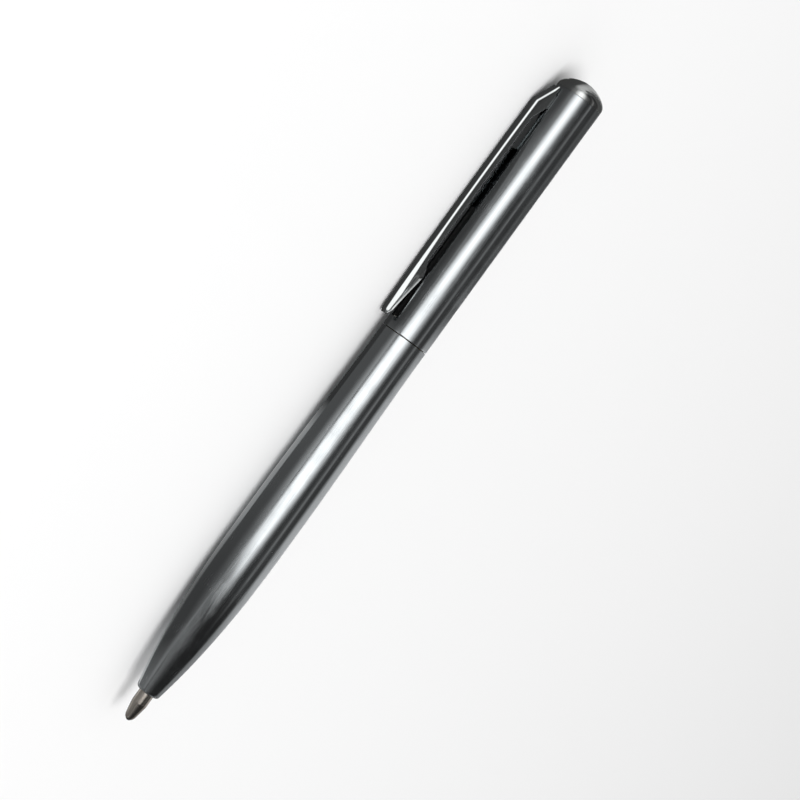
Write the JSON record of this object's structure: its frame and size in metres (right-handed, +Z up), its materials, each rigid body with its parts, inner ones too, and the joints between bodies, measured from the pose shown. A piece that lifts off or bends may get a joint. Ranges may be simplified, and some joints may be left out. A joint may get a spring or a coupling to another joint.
{
  "type": "mini ballpoint pen",
  "caption": "Slim chrome-plated mini ballpoint pen: tapered lower barrel, turning upper half that moves the refill in and out, slotted tube under a sprung steel clip, domed crown.",
  "frame": {"origin": "on the ground under the middle of the pen as it lies at rest on its belly and the edge of its clip", "axes": "+X along the pen towards its writing point, +Z up; the crown points to -X and the clip lies low on the -Y side"},
  "size_m": [0.112, 0.0094, 0.0083],
  "materials": {
    "chrome_plate": "bright chrome plate on drawn brass tube",
    "clip_steel": "bright plated spring steel sheet",
    "nickel_silver": "turned nickel silver, satin",
    "carbide": "ground tungsten carbide",
    "refill_brass": "drawn brass tube",
    "ink": "dark blue paste ink",
    "black_acetal": "moulded acetal",
    "white_acetal": "moulded acetal",
    "pin_steel": "ground steel pin",
    "spring_steel": "pressed spring steel",
    "turned_brass": "turned brass",
    "ring_rubber": "nitrile rubber"
  },
  "bodies": {
    "lower_half": {"lower_barrel": "chrome_plate"},
    "mechanism": {"barrel_collar": "turned_brass", "grip_ring_front": "ring_rubber", "grip_ring_rear": "ring_rubber", "guide_tube": "turned_brass", "thrust_washer": "white_acetal", "friction_washer": "spring_steel", "mechanism_end_cap": "turned_brass"},
    "refill": {"refill_point": "nickel_silver", "refill_tube": "refill_brass", "ink_column": "ink", "refill_carrier": "black_acetal", "carrier_pin": "pin_steel"},
    "ball": {"writing_ball": "carbide"},
    "upper_half": {"upper_barrel": "chrome_plate", "cam_sleeve": "white_acetal", "mechanism_jacket": "black_acetal", "crown_plug": "black_acetal", "crown_cap": "chrome_plate"},
    "clip": {"clip": "clip_steel"}
  },
  "joints": [
    {"name": "pull_apart", "type": "slide", "parent": "lower_half", "child": "mechanism", "axis": [-1, 0, 0], "range_m": [0, 0.07]},
    {"name": "twist", "type": "hinge", "parent": "mechanism", "child": "upper_half", "pos_m": [-0.01124, 0.00056, 0.00415], "axis": [-1, 0, 0], "range_deg": [0, 180]},
    {"name": "refill_slide", "type": "slide", "parent": "mechanism", "child": "refill", "axis": [-1, 0, 0], "range_m": [0, 0.005]},
    {"name": "clip_flex", "type": "hinge", "parent": "upper_half", "child": "clip", "pos_m": [-0.05307, -0.00256, 0.00188], "axis": [0, 0.589, -0.8081], "range_deg": [0, 2.5], "stiffness_Nm_per_rad": 1.5},
    {"name": "ball_roll", "type": "hinge", "parent": "refill", "child": "ball", "pos_m": [0.05552, 0.00056, 0.00415], "axis": [0, 1, 0], "continuous": true}
  ],
  "couplings": [
    {"joint": "twist", "follows": "refill_slide", "rad_per_m": 628.3}
  ]
}
